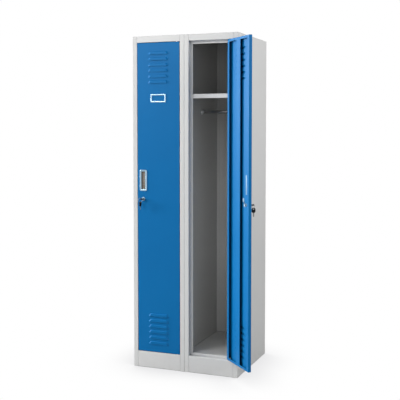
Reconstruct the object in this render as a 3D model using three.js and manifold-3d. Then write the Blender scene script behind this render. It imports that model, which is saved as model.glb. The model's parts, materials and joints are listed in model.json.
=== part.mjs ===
// A two-door steel wardrobe locker, in millimetres.
// X runs to the right, Y to the back and Z up. The origin is the middle of the footprint, on the floor.
// The left door is shut and the right door stands open; both hinge on their right-hand side.
import * as THREE from "three";
import { mergeVertices } from "three/addons/utils/BufferGeometryUtils.js";
import Module from "manifold-3d";

const wasm = await Module();
wasm.setup();

// ---- Driving dimensions ----
const WIDTH = 600;
const DEPTH = 500;
const HEIGHT = 1800;
const SHEET = 0.8; // steel sheet
const GAP = 0.3; // between pieces that touch
const ROUND_GAP = 0.4; // between round pieces, whose flats reach in from their corners
const ROUND = 20; // sides of the larger turned pieces
const SMALL_ROUND = 12; // sides of the pins, bushes and screws
const HEXAGON = 6;
const CORNER_STEPS = 4; // flats in each rounded corner

const STILE = 25; // each front stile; two of them make the centre post
const POCKET = 25; // depth of the recess that a door closes into
const STOP = 15; // width of the flange that a door closes against
const BACK_FLANGE = 20;
const TOP_RAIL = 34; // height of the rail above a door
const PLINTH = 89; // height of the panel below a door
const FLOOR_LEVEL = 102; // top of the compartment floor
const FOLD = 15; // flanges of the floors and shelves
const LID_FOLD = 20;

const SHELF_TOP = 1489;
const SHELF_LIP = 23;
const SHELF_SETBACK = 2; // behind the stop flanges
const ROD_HEIGHT = 1399;
const ROD_BACK = 8; // behind the middle of the depth
const ROD_RADIUS = 8;
const ROD_WALL = 1.2;

const DOOR_SIDE_GAP = 2;
const DOOR_END_GAP = 1.8;
const DOOR_THICK = 17;
const DOOR_LIP = 20; // lips along the door's long edges
const DOOR_END_LIP = 13; // lips along its top and bottom
const PIVOT_INSET = 14.5; // hinge axis from the door's hinge edge
const PIVOT_DEPTH = 5; // hinge axis behind the door's face
const OPEN_ANGLE = 135;

const PIN_RADIUS = 2.25;
const PIN_HEAD = 3.8;
const PIN_HEAD_TALL = 2;
const PIN_SHORT = 2; // how far a pin stops short of the end of its bush
const BUSH_RADIUS = 3.45;
const BUSH_LENGTH = 12;

const LOUVRES = 6; // in each of a door's two groups
const LOUVRE = { width: 120, topWidth: 98, tall: 13, proud: 5.5, lip: 3, slope: 8, pitch: 30.5 };
const TOP_LOUVRE_MOUTH = 1703.5; // lower edge of the highest louvre
const LOW_LOUVRE_MOUTH = 136.5; // lower edge of the lowest louvre

const STIFFENER = { wide: 44, foot: 17, lip: 3 };
const LABEL = { z: 1468, wide: 88, tall: 44, inWide: 71, inTall: 28, thick: 2, corner: 2 };
const CARD_SLOT = { deep: 0.8, hold: 4 };
const FURNITURE_INSET = 34; // handle and lock from the door's free edge
const HANDLE = { z: 1026.5, wide: 42, tall: 114, plate: 2.5, corner: 5 };
const CUP = { wide: 26, tall: 99, wall: 1.5, depth: 10, corner: 4 };
const LOCK_Z = 926;
const LOCK = { head: 9.5, headThick: 2, barrel: 8, barrelEnd: 19.5, bore: 5.85, chamfer: 1 };
const PLUG = { radius: 5.5, slotWide: 8, slotTall: 2.6, slotDepth: 18.6 };
const SCREW_HOLE = { radius: 2.35, depth: 3.3 };
const NUT = { flats: 21, thick: 4 };
const CAM = { wide: 14, thick: 2, tail: 8, straight: 12, crank: 7, reach: 38, step: 7 };
const SCREW = { head: 4, headTall: 2.6, shank: 2 };
const BLADE = { length: 18, wide: 7, thick: 1.8, neck: 2 };
const BOW = { length: 25, wide: 20, thick: 5, corner: 8, hole: 3.5, holeInset: 6 };
const RING = { radius: 11, wire: 0.8, steps: 24, side: 8.1, drop: 6.3, slack: 0.7 };

// ---- Derived sizes ----
const SIDE = WIDTH / 2;
const FRONT = -DEPTH / 2;
const BACK = DEPTH / 2;
const STOP_Y = FRONT + POCKET; // front of every stop flange
const CARCASS_TOP = HEIGHT - SHEET - GAP; // what stands under the lid
const BACK_Y = BACK - SHEET - GAP; // rear of the back panel
const INSIDE_BACK = BACK_Y - SHEET - GAP; // rear of whatever stands in front of the back panel
const SEAM = GAP / 2; // half the gap between the two centre stiles
const RAIL_Z = HEIGHT - TOP_RAIL;
const OPENING = SIDE - 2 * STILE;
const DOOR_WIDTH = OPENING - 2 * DOOR_SIDE_GAP;
const DOOR_BOTTOM = PLINTH + DOOR_END_GAP;
const DOOR_TOP = RAIL_Z - DOOR_END_GAP;

// A door is drawn in its own frame, shut: the hinge axis is x = 0, y = 0, and z is height above the floor.
const HINGE_EDGE = PIVOT_INSET;
const FREE_EDGE = PIVOT_INSET - DOOR_WIDTH;
const FACE = -PIVOT_DEPTH;
const REAR = DOOR_THICK - PIVOT_DEPTH;
const MIDDLE = (HINGE_EDGE + FREE_EDGE) / 2;
const LOCK_X = FREE_EDGE + FURNITURE_INSET;

// ---- Finishes ----
const FINISH = {
  body: { color: 0xd2d3d3, roughness: 0.5, metalness: 0 },
  door: { color: 0x1c6fb5, roughness: 0.45, metalness: 0 },
  bright: { color: 0xdfe3e6, roughness: 0.2, metalness: 1 },
  steel: { color: 0x9a9da0, roughness: 0.35, metalness: 1 },
  nylon: { color: 0xe8e6de, roughness: 0.6, metalness: 0 },
  black: { color: 0x141518, roughness: 0.5, metalness: 0 },
};

// ---- Shapes ----

// A closed geometry as a manifold-3d solid.
function solid(geometry) {
  const bare = geometry.clone();
  bare.deleteAttribute("normal");
  bare.deleteAttribute("uv");
  const merged = mergeVertices(bare, 1e-4);
  return new wasm.Manifold(
    new wasm.Mesh({
      numProp: 3,
      vertProperties: new Float32Array(merged.attributes.position.array),
      triVerts: new Uint32Array(merged.index.array),
    }),
  );
}

function block(x0, x1, y0, y1, z0, z1) {
  const geometry = new THREE.BoxGeometry(x1 - x0, y1 - y0, z1 - z0);
  return solid(geometry.translate((x0 + x1) / 2, (y0 + y1) / 2, (z0 + z1) / 2));
}

const outline = (points) => new THREE.Shape(points.map(([a, b]) => new THREE.Vector2(a, b)));

function extrude(shape, length) {
  const options = { depth: length, bevelEnabled: false, curveSegments: CORNER_STEPS };
  return new THREE.ExtrudeGeometry(shape, options);
}

// A shape in X and Y, standing from z0 to z1.
function column(shape, z0, z1) {
  return solid(extrude(shape, z1 - z0).translate(0, 0, z0));
}

// A shape in Y and Z, running from x0 to x1.
function beam(shape, x0, x1) {
  const toYZ = new THREE.Matrix4().makeBasis(
    new THREE.Vector3(0, 1, 0),
    new THREE.Vector3(0, 0, 1),
    new THREE.Vector3(1, 0, 0),
  );
  return solid(extrude(shape, x1 - x0).applyMatrix4(toYZ).translate(x0, 0, 0));
}

// A shape in X and Z, running back from y0 to y1.
function plate(shape, y0, y1) {
  return solid(extrude(shape, y1 - y0).rotateX(Math.PI / 2).translate(0, y1, 0));
}

// A turned piece whose profile gives [radius, distance along the axis].
function turned(profile, segments) {
  const points = profile.map(([radius, along]) => new THREE.Vector2(radius, along));
  return new THREE.LatheGeometry(points, segments);
}

const alongX = (geometry) => solid(geometry.rotateZ(-Math.PI / 2));
const alongY = (geometry) => solid(geometry);
const alongZ = (geometry) => solid(geometry.rotateX(Math.PI / 2));

// A ring-shaped profile for a turned tube, closed on itself.
const tube = (outer, inner, from, to) => [
  [inner, from],
  [outer, from],
  [outer, to],
  [inner, to],
  [inner, from],
];
const disc = (radius, from, to) => [
  [0, from],
  [radius, from],
  [radius, to],
  [0, to],
];

function roundedRectangle(wide, tall, radius, x = 0, z = 0) {
  const [a, b] = [wide / 2 - radius, tall / 2 - radius];
  const shape = new THREE.Shape();
  shape.absarc(x + a, z + b, radius, 0, Math.PI / 2);
  shape.absarc(x - a, z + b, radius, Math.PI / 2, Math.PI);
  shape.absarc(x - a, z - b, radius, Math.PI, 1.5 * Math.PI);
  shape.absarc(x + a, z - b, radius, 1.5 * Math.PI, 2 * Math.PI);
  return shape;
}

// The outline of a folded sheet. The path follows the sheet's outer face from fold to fold, and
// side is 1 when the metal lies to the right of the path and -1 when it lies to the left.
function folded(path, side, thickness = SHEET) {
  const normals = path.slice(1).map(([x, y], i) => {
    const [dx, dy] = [x - path[i][0], y - path[i][1]];
    const length = Math.hypot(dx, dy);
    return [(side * dy) / length, (-side * dx) / length];
  });
  const inner = path.map(([x, y], i) => {
    const before = normals[Math.max(i - 1, 0)];
    const after = normals[Math.min(i, normals.length - 1)];
    const mitre = 1 + before[0] * after[0] + before[1] * after[1];
    return [
      x + (thickness * (before[0] + after[0])) / mitre,
      y + (thickness * (before[1] + after[1])) / mitre,
    ];
  });
  return outline([...path, ...inner.reverse()]);
}

const mirrored = (path) => path.map(([x, y]) => [-x, y]);

const nodes = new THREE.Group();

// Names a solid, gives it a finish and hangs it in a group.
function addPiece(name, shape, finish, group = nodes) {
  const { vertProperties, triVerts } = shape.getMesh();
  const geometry = new THREE.BufferGeometry();
  geometry.setAttribute("position", new THREE.BufferAttribute(vertProperties, 3));
  geometry.setIndex(new THREE.BufferAttribute(triVerts, 1));
  const mesh = new THREE.Mesh(geometry, new THREE.MeshStandardMaterial(FINISH[finish]));
  mesh.name = name;
  group.add(mesh);
}

// ---- Carcass ----

// The folds shared by every stile, from the stop flange round to its outer edge, right of x = 0.
const stileFolds = (inner, outer) => [
  [inner + Math.sign(inner - outer) * STOP, STOP_Y],
  [inner, STOP_Y],
  [inner, FRONT],
  [outer, FRONT],
];

function sidePanel(side) {
  const path = [...stileFolds(SIDE - STILE, SIDE), [SIDE, BACK], [SIDE - BACK_FLANGE, BACK]];
  const profile = side > 0 ? folded(path, -1) : folded(mirrored(path), 1);
  return column(profile, 0, CARCASS_TOP);
}

// One sheet makes the right-hand centre stile and the wall behind it. Its foot is turned to the left
// along the floor, under the origin.
function centrePartition() {
  const wall = [...stileFolds(STILE, SEAM), [SEAM, INSIDE_BACK], [SEAM + FOLD, INSIDE_BACK]];
  const foot = block(-FOLD, SEAM + SHEET / 2, STOP_Y + 2 * STOP, INSIDE_BACK, 0, SHEET);
  return column(folded(wall, 1), 0, CARCASS_TOP).add(foot);
}

function centreStile() {
  const path = [...stileFolds(STILE, SEAM), [SEAM, STOP_Y + STOP]];
  return column(folded(mirrored(path), -1), 0, CARCASS_TOP);
}

function backPanel() {
  const inside = SIDE - SHEET - GAP;
  return block(-inside, inside, BACK_Y - SHEET, BACK_Y, SHEET, CARCASS_TOP);
}

function topPanel() {
  const inside = SIDE - SHEET - GAP;
  const fold = (x0, x1, y0, y1) => block(x0, x1, y0, y1, HEIGHT - LID_FOLD, HEIGHT - SHEET / 2);
  const wallFront = STOP_Y + STOP;
  let lid = block(-SIDE, SIDE, FRONT, BACK, HEIGHT - SHEET, HEIGHT);
  for (const side of [-1, 1]) {
    const [x0, x1] = [side * inside, side * (inside - SHEET)].sort((a, b) => a - b);
    lid = lid.add(fold(x0, x1, wallFront, INSIDE_BACK - 2 * FOLD));
    const [x2, x3] = [side * 2 * FOLD, side * (inside - FOLD)].sort((a, b) => a - b);
    lid = lid.add(fold(x2, x3, INSIDE_BACK - SHEET, INSIDE_BACK));
  }
  return lid;
}

// A rail or plinth ends between the stiles, and its stop ends between their stops.
const compartment = (side) => [side * STILE, side * (SIDE - STILE)].sort((a, b) => a - b);

function notchEnds(shape, x0, x1, z0, z1) {
  const [from, to] = [STOP_Y - GAP, STOP_Y + SHEET + GAP];
  return shape
    .subtract(block(x0 - STILE, x0 + STOP + GAP, from, to, z0, z1))
    .subtract(block(x1 - STOP - GAP, x1 + STILE, from, to, z0, z1));
}

function pinHole(x, z) {
  const drill = alongZ(turned(disc(PIN_RADIUS + 2 * GAP, -2 * SHEET, 2 * SHEET), SMALL_ROUND));
  return drill.translate([x, FRONT + PIVOT_DEPTH, z]);
}
const pivotX = (side) => compartment(side)[1] - DOOR_SIDE_GAP - PIVOT_INSET;

function topRail(side) {
  const [x0, x1] = compartment(side);
  const path = [
    [FRONT, CARCASS_TOP],
    [FRONT, RAIL_Z],
    [STOP_Y, RAIL_Z],
    [STOP_Y, RAIL_Z - STOP],
  ];
  const rail = beam(folded(path, -1), x0 + GAP, x1 - GAP);
  return notchEnds(rail, x0, x1, RAIL_Z - 2 * STOP, RAIL_Z + STOP).subtract(pinHole(pivotX(side), RAIL_Z));
}

function plinth(side) {
  const [x0, x1] = compartment(side);
  const path = [
    [FRONT + FOLD, 0],
    [FRONT, 0],
    [FRONT, PLINTH],
    [STOP_Y - GAP, PLINTH],
  ];
  return beam(folded(path, 1), x0 + GAP, x1 - GAP).subtract(pinHole(pivotX(side), PLINTH));
}

// The inside faces of the walls to the left and right of a compartment.
const walls = (side) => (side < 0 ? [-SIDE + SHEET, -SEAM] : [SEAM + SHEET, SIDE - SHEET]);

// A tray: a folded sheet across the compartment with a flange down each side.
function tray(side, path, top, sideFront) {
  const [x0, x1] = walls(side);
  const [left, right] = [x0 + GAP, x1 - GAP];
  const flange = (x) => block(x, x + SHEET, sideFront, INSIDE_BACK - 2 * FOLD, top - FOLD, top - SHEET / 2);
  return beam(folded(path, 1), left, right).add(flange(left)).add(flange(right - SHEET));
}

function floorPanel(side) {
  const path = [
    [STOP_Y, FLOOR_LEVEL - 2 * FOLD],
    [STOP_Y, FLOOR_LEVEL],
    [INSIDE_BACK - SHEET - GAP, FLOOR_LEVEL],
    [INSIDE_BACK - SHEET - GAP, FLOOR_LEVEL - FOLD],
  ];
  const [x0, x1] = compartment(side);
  const floor = tray(side, path, FLOOR_LEVEL, STOP_Y + STOP + 2 * GAP);
  const stileFoot = block(-STOP, STOP, STOP_Y - GAP, STOP_Y + STOP + GAP, 0, FLOOR_LEVEL + STOP);
  return notchEnds(floor, x0, x1, 0, FLOOR_LEVEL + STOP).subtract(stileFoot);
}

function shelf(side) {
  const front = STOP_Y + SHEET + SHELF_SETBACK;
  const path = [
    [front + FOLD, SHELF_TOP - SHELF_LIP],
    [front, SHELF_TOP - SHELF_LIP],
    [front, SHELF_TOP],
    [INSIDE_BACK - SHEET - GAP, SHELF_TOP],
    [INSIDE_BACK - SHEET - GAP, SHELF_TOP - FOLD],
  ];
  const board = tray(side, path, SHELF_TOP, front + SHEET / 2);
  const stileBack = block(-SHEET - 3 * GAP, 0, FRONT, STOP_Y + STOP + GAP, 0, HEIGHT);
  return side < 0 ? board.subtract(stileBack) : board;
}

// A cup that holds one end of the hanging rod, flat against the wall at x = 0.
const SOCKET = { flange: 15, plate: 2, collar: 10.5, length: 10 };

function rodSocket(direction) {
  const profile = [
    [0, 0],
    [SOCKET.flange, 0],
    [SOCKET.flange, SOCKET.plate],
    [SOCKET.collar, SOCKET.plate],
    [SOCKET.collar, SOCKET.length],
    [ROD_RADIUS + ROUND_GAP, SOCKET.length],
    [ROD_RADIUS + ROUND_GAP, SOCKET.plate],
    [0, SOCKET.plate],
  ];
  const cup = alongX(turned(profile, ROUND));
  return direction > 0 ? cup : cup.rotate([0, 0, 180]);
}

// ---- Hinge pieces, drawn about the hinge axis ----

// Riveted through the rail or plinth at height z, pointing up or down into the door.
function hingePin(z, direction) {
  const underHead = -SHEET - GAP;
  const end = DOOR_END_GAP + BUSH_LENGTH - PIN_SHORT;
  const profile = [
    [0, underHead - PIN_HEAD_TALL],
    [PIN_HEAD, underHead - PIN_HEAD_TALL],
    [PIN_HEAD, underHead],
    [PIN_RADIUS, underHead],
    [PIN_RADIUS, GAP],
    [BUSH_RADIUS, GAP],
    [BUSH_RADIUS, DOOR_END_GAP - GAP],
    [PIN_RADIUS, DOOR_END_GAP - GAP],
    [PIN_RADIUS, end],
    [0, end],
  ];
  const pin = alongZ(turned(profile, SMALL_ROUND));
  return (direction > 0 ? pin : pin.rotate([180, 0, 0])).translate([0, 0, z]);
}

function bush(z) {
  const profile = tube(BUSH_RADIUS, PIN_RADIUS + ROUND_GAP, GAP, BUSH_LENGTH);
  return alongZ(turned(profile, SMALL_ROUND)).translate([0, 0, z]);
}

// ---- Door ----

// A louvre is lanced along its lower edge and pressed outwards, with sloping ends and its mouth down.
// grow swells the pressed shape, or shrinks it for the hollow behind it.
function louvreForm(z, grow, inward, dip) {
  const half = LOUVRE.width / 2 + grow;
  const topHalf = LOUVRE.topWidth / 2 + grow;
  const lipHalf = half - LOUVRE.proud;
  const [top, low] = [z + LOUVRE.tall + grow, z - dip];
  const corners = [
    [-half, inward, low],
    [half, inward, low],
    [topHalf, inward, top],
    [-topHalf, inward, top],
    [-half, FACE, low],
    [half, FACE, low],
    [topHalf, FACE, top],
    [-topHalf, FACE, top],
    [-lipHalf, FACE - LOUVRE.proud - grow, low],
    [lipHalf, FACE - LOUVRE.proud - grow, low],
    [lipHalf - LOUVRE.slope, FACE - LOUVRE.proud - grow, z + LOUVRE.lip],
    [LOUVRE.slope - lipHalf, FACE - LOUVRE.proud - grow, z + LOUVRE.lip],
  ];
  return corners.map(([x, y, height]) => [x + MIDDLE, y, height]);
}
const pressed = (corners) => wasm.Manifold.hull(corners);

function addLouvres(panel) {
  let result = panel;
  for (let i = 0; i < LOUVRES; i++) {
    for (const mouth of [TOP_LOUVRE_MOUTH - i * LOUVRE.pitch, LOW_LOUVRE_MOUTH + i * LOUVRE.pitch]) {
      result = result.add(pressed(louvreForm(mouth, 0, FACE + SHEET, 0)));
      result = result.subtract(pressed(louvreForm(mouth, -SHEET, FACE + 2 * SHEET, SHEET)));
    }
  }
  return result;
}

function doorPanel() {
  const outer = block(FREE_EDGE, HINGE_EDGE, FACE, REAR, DOOR_BOTTOM, DOOR_TOP);
  const hollow = block(
    FREE_EDGE + SHEET,
    HINGE_EDGE - SHEET,
    FACE + SHEET,
    REAR - SHEET,
    DOOR_BOTTOM + SHEET,
    DOOR_TOP - SHEET,
  );
  const window = block(
    FREE_EDGE + DOOR_LIP,
    HINGE_EDGE - DOOR_LIP,
    0,
    2 * REAR,
    DOOR_BOTTOM + DOOR_END_LIP,
    DOOR_TOP - DOOR_END_LIP,
  );
  const handleHole = plate(
    roundedRectangle(CUP.wide + 2 * GAP, CUP.tall + 2 * GAP, CUP.corner, LOCK_X, HANDLE.z),
    2 * FACE,
    0,
  );
  const lockHole = alongY(turned(disc(LOCK.barrel + ROUND_GAP, 2 * FACE, 0), ROUND));
  const bushHole = alongZ(turned(disc(BUSH_RADIUS + GAP, -2 * SHEET, 2 * SHEET), SMALL_ROUND));
  return addLouvres(outer.subtract(hollow).subtract(window))
    .subtract(handleHole)
    .subtract(atLock(lockHole))
    .subtract(bushHole.translate([0, 0, DOOR_BOTTOM]))
    .subtract(bushHole.translate([0, 0, DOOR_TOP]));
}

// A channel down the middle of the door's inside, open towards the free edge.
function stiffener() {
  const near = MIDDLE + STIFFENER.wide / 2;
  const far = MIDDLE - STIFFENER.wide / 2;
  const [sheetSide, crest] = [FACE + SHEET + GAP, REAR - SHEET - GAP];
  const path = [
    [near - STIFFENER.foot, sheetSide],
    [near, sheetSide],
    [near, crest],
    [far, crest],
    [far, crest - STIFFENER.lip],
  ];
  return column(folded(path, -1), DOOR_BOTTOM + SHEET + GAP, DOOR_TOP - SHEET - GAP);
}

// A frame for a name card, which slides in from its right-hand end.
function labelHolder() {
  const back = FACE - GAP;
  const shape = roundedRectangle(LABEL.wide, LABEL.tall, LABEL.corner, MIDDLE, LABEL.z);
  const frame = plate(shape, back - LABEL.thick, back);
  const [halfWide, halfTall] = [LABEL.inWide / 2, LABEL.inTall / 2];
  const [left, right] = [MIDDLE - halfWide, MIDDLE + halfWide];
  const [low, high] = [LABEL.z - halfTall, LABEL.z + halfTall];
  const hold = CARD_SLOT.hold;
  const opening = block(left, right, 2 * back, 0, low, high);
  const cardSlot = block(left - hold, right + LABEL.wide, back - CARD_SLOT.deep, 0, low - hold, high + hold);
  return frame.subtract(opening).subtract(cardSlot);
}

function handle() {
  const back = FACE - GAP;
  const bottom = FACE + CUP.depth;
  const rimShape = roundedRectangle(HANDLE.wide, HANDLE.tall, HANDLE.corner, LOCK_X, HANDLE.z);
  const cupShape = roundedRectangle(CUP.wide, CUP.tall, CUP.corner, LOCK_X, HANDLE.z);
  const [wide, tall] = [CUP.wide - 2 * CUP.wall, CUP.tall - 2 * CUP.wall];
  const recessShape = roundedRectangle(wide, tall, CUP.corner - CUP.wall, LOCK_X, HANDLE.z);
  const rim = plate(rimShape, back - HANDLE.plate, back);
  const cup = plate(cupShape, back - HANDLE.plate / 2, bottom);
  return rim.add(cup).subtract(plate(recessShape, 2 * back, bottom - CUP.wall));
}

// ---- Lock, drawn about its own axis: y runs inwards from the hinge plane ----
const PLUG_FRONT = FACE - GAP - LOCK.headThick - GAP;
const PLUG_END = FACE + LOCK.barrelEnd + GAP;
const CAM_FRONT = PLUG_END + GAP;
const SLOT_END = PLUG_FRONT + PLUG.slotDepth;
const BOW_START = PLUG_FRONT - BLADE.neck;
const KEY_HOLE_Y = BOW_START - BOW.length + BOW.holeInset;

const atLock = (shape) => shape.translate([LOCK_X, 0, LOCK_Z]);

function lockBody() {
  const headFront = FACE - GAP - LOCK.headThick;
  const profile = [
    [LOCK.bore, headFront],
    [LOCK.head - LOCK.chamfer, headFront],
    [LOCK.head, headFront + LOCK.chamfer],
    [LOCK.head, FACE - GAP],
    [LOCK.barrel, FACE - GAP],
    [LOCK.barrel, FACE + LOCK.barrelEnd],
    [LOCK.bore, FACE + LOCK.barrelEnd],
    [LOCK.bore, headFront],
  ];
  return alongY(turned(profile, ROUND));
}

function lockNut() {
  const front = FACE + SHEET + GAP;
  const radius = NUT.flats / Math.sqrt(3);
  const hexagon = alongY(turned(disc(radius, front, front + NUT.thick), HEXAGON));
  const drill = alongY(turned(disc(LOCK.barrel + ROUND_GAP, 2 * FACE, 2 * NUT.thick), ROUND));
  return hexagon.subtract(drill);
}

function lockPlug() {
  const core = alongY(turned(disc(PLUG.radius, PLUG_FRONT, PLUG_END), ROUND));
  const [wide, tall] = [PLUG.slotWide / 2, PLUG.slotTall / 2];
  const slot = block(-wide, wide, 2 * PLUG_FRONT, SLOT_END, -tall, tall);
  const screwHole = alongY(
    turned(disc(SCREW_HOLE.radius, PLUG_END - SCREW_HOLE.depth, 2 * PLUG_END), SMALL_ROUND),
  );
  return core.subtract(slot).subtract(screwHole);
}

// Pointing up, the cam is clear of the stop; a quarter turn puts its cranked end behind it.
function lockCam() {
  const path = [
    [CAM_FRONT, -CAM.tail],
    [CAM_FRONT, CAM.straight],
    [CAM_FRONT + CAM.step, CAM.straight + CAM.crank],
    [CAM_FRONT + CAM.step, CAM.reach],
  ];
  const arm = beam(folded(path, 1, CAM.thick), -CAM.wide / 2, CAM.wide / 2);
  return arm.subtract(alongY(turned(disc(SCREW_HOLE.radius, 0, 2 * PLUG_END), SMALL_ROUND)));
}

function camScrew() {
  const back = CAM_FRONT + CAM.thick + GAP;
  const tip = PLUG_END - SCREW_HOLE.depth + GAP;
  const shank = alongY(turned(disc(SCREW.shank, tip, back + SCREW.headTall / 2), SMALL_ROUND));
  return shank.add(alongY(turned(disc(SCREW.head, back, back + SCREW.headTall), HEXAGON)));
}

// A key with its blade along +Y from y = 0, its bow behind, both lying flat.
function keyForm() {
  const [wide, thick] = [BLADE.wide / 2, BLADE.thick / 2];
  const blade = block(-wide, wide, -BLADE.neck, BLADE.neck + BLADE.length, -thick, thick);
  const bowShape = roundedRectangle(BOW.wide, BOW.length, BOW.corner, 0, -BOW.length / 2);
  const bow = column(bowShape, -BOW.thick / 2, BOW.thick / 2);
  const hole = alongZ(turned(disc(BOW.hole, -BOW.thick, BOW.thick), ROUND));
  return blade.add(bow).subtract(hole.translate([0, BOW.holeInset - BOW.length, 0]));
}

function keyRing() {
  return solid(new THREE.TorusGeometry(RING.radius, RING.wire, HEXAGON, RING.steps).rotateX(Math.PI / 2));
}

// The spare key hangs from the ring by its hole, blade down, its bow square to the door.
function spareKey() {
  const hanging = BOW.hole - RING.wire - RING.slack;
  return keyForm()
    .translate([0, BOW.length - BOW.holeInset, 0])
    .rotate([-90, 0, 0])
    .rotate([0, 0, 90])
    .translate([0, 0, -hanging]);
}

function addLock(name, group) {
  const ringCentre = [-RING.side, KEY_HOLE_Y, -RING.drop];
  addPiece(`${name}_lock_body`, atLock(lockBody()), "bright", group);
  addPiece(`${name}_lock_nut`, atLock(lockNut()), "steel", group);
  addPiece(`${name}_lock_plug`, atLock(lockPlug()), "steel", group);
  addPiece(`${name}_lock_cam`, atLock(lockCam()), "bright", group);
  addPiece(`${name}_cam_screw`, atLock(camScrew()), "steel", group);
  addPiece(`${name}_key`, atLock(keyForm().translate([0, BOW_START, 0])), "black", group);
  addPiece(`${name}_key_ring`, atLock(keyRing().translate(ringCentre)), "bright", group);
  const ringBottom = [ringCentre[0], ringCentre[1], ringCentre[2] - RING.radius];
  addPiece(`${name}_spare_key`, atLock(spareKey().translate(ringBottom)), "black", group);
}

// ---- Assembly ----
addPiece("left_side_panel", sidePanel(-1), "body");
addPiece("right_side_panel", sidePanel(1), "body");
addPiece("centre_partition", centrePartition(), "body");
addPiece("centre_stile", centreStile(), "body");
addPiece("top_panel", topPanel(), "body");
addPiece("back_panel", backPanel(), "body");

for (const [name, side, angle] of [
  ["left", -1, 0],
  ["right", 1, OPEN_ANGLE],
]) {
  addPiece(`${name}_top_rail`, topRail(side), "body");
  addPiece(`${name}_plinth`, plinth(side), "body");
  addPiece(`${name}_floor_panel`, floorPanel(side), "body");
  addPiece(`${name}_shelf`, shelf(side), "body");

  const [wallLeft, wallRight] = walls(side);
  const rodEnd = SOCKET.plate + 2 * GAP;
  const rodAt = (x, shape) => shape.translate([x, ROD_BACK, ROD_HEIGHT]);
  addPiece(`${name}_rod_socket_left`, rodAt(wallLeft + GAP, rodSocket(1)), "steel");
  addPiece(`${name}_rod_socket_right`, rodAt(wallRight - GAP, rodSocket(-1)), "steel");
  const rod = turned(tube(ROD_RADIUS, ROD_RADIUS - ROD_WALL, wallLeft + rodEnd, wallRight - rodEnd), ROUND);
  addPiece(`${name}_hanging_rod`, rodAt(0, alongX(rod)), "steel");

  const pivot = new THREE.Group();
  pivot.position.set(pivotX(side), FRONT + PIVOT_DEPTH, 0);
  addPiece(`${name}_top_hinge_pin`, hingePin(RAIL_Z, -1), "steel", pivot);
  addPiece(`${name}_bottom_hinge_pin`, hingePin(PLINTH, 1), "steel", pivot);

  const door = new THREE.Group();
  door.rotation.z = THREE.MathUtils.degToRad(angle);
  addPiece(`${name}_door_panel`, doorPanel(), "door", door);
  addPiece(`${name}_door_stiffener`, stiffener(), "door", door);
  addPiece(`${name}_top_bush`, bush(DOOR_TOP - BUSH_LENGTH - GAP), "nylon", door);
  addPiece(`${name}_bottom_bush`, bush(DOOR_BOTTOM), "nylon", door);
  addPiece(`${name}_label_holder`, labelHolder(), "bright", door);
  addPiece(`${name}_handle`, handle(), "bright", door);
  addLock(name, door);
  pivot.add(door);
  nodes.add(pivot);
}

export default nodes;
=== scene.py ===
import json
import math

import bmesh
import bpy
from mathutils import Matrix, Vector


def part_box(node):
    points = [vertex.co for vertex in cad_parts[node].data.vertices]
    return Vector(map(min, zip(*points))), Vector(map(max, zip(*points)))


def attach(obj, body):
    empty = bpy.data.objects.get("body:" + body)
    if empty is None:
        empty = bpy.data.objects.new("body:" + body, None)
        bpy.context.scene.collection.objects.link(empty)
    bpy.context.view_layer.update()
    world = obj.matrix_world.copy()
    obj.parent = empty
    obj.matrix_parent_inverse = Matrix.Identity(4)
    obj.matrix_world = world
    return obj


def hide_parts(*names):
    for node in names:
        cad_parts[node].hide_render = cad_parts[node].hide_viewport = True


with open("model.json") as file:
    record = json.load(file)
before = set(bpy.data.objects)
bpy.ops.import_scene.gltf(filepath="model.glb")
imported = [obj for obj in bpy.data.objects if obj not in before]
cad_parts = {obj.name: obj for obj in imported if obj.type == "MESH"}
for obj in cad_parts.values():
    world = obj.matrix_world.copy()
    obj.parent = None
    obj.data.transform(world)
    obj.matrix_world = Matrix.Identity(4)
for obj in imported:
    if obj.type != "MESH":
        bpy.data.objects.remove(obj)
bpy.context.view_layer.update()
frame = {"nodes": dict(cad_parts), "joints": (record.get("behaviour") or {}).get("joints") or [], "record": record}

NODES = frame["nodes"]
JOINTS = {joint["name"]: joint for joint in frame["joints"]}
BODIES = frame["record"]["behaviour"]["bodies"]
BODY_OF = {node: body for body, nodes in BODIES.items() for node in nodes}
MM = 0.001
SIDES = ("left", "right")

# ---- Sizes that the frame's boxes don't give ----

SHEET = 0.8 * MM
BEND = 2.0 * MM  # outer radius of a fold
PLINTH_BEND = 1.6 * BEND
BEND_STEPS = 5
GAP = 0.3 * MM  # between pieces that touch
STILE = 25 * MM
STOP = 15 * MM  # flange that a door closes against
FOLD = 15 * MM  # flanges of the floors and shelves
BACK_FLANGE = 20 * MM
SHELF_LIP = 23 * MM
SPLIT = BEND + GAP  # where a stop flange that is cut short meets its sheet
ROUND = 48  # sides of a round piece
SHARP = math.radians(32)  # edges sharper than this show as edges

DOOR_LIP = 20 * MM
DOOR_END_LIP = 13 * MM
LOUVRES = 6
LOUVRE_HALF = 60 * MM
LOUVRE_NARROWS = 11 * MM  # how much closer each end is at a louvre's top than at its mouth
LOUVRE_TALL = 13 * MM
LOUVRE_HOOD = 2.5 * MM  # how far its lip hangs below the cut
LOUVRE_PITCH = 30.5 * MM
TOP_LOUVRE_MOUTH = 1703.5 * MM
LOW_LOUVRE_MOUTH = 136.5 * MM
CREASE = 3.4 * MM  # height over which a louvre rises from the door
LOUVRE_END = 9 * MM  # length of its sloping ends
RISE_STEPS = 6


# ---- Materials ----


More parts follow.
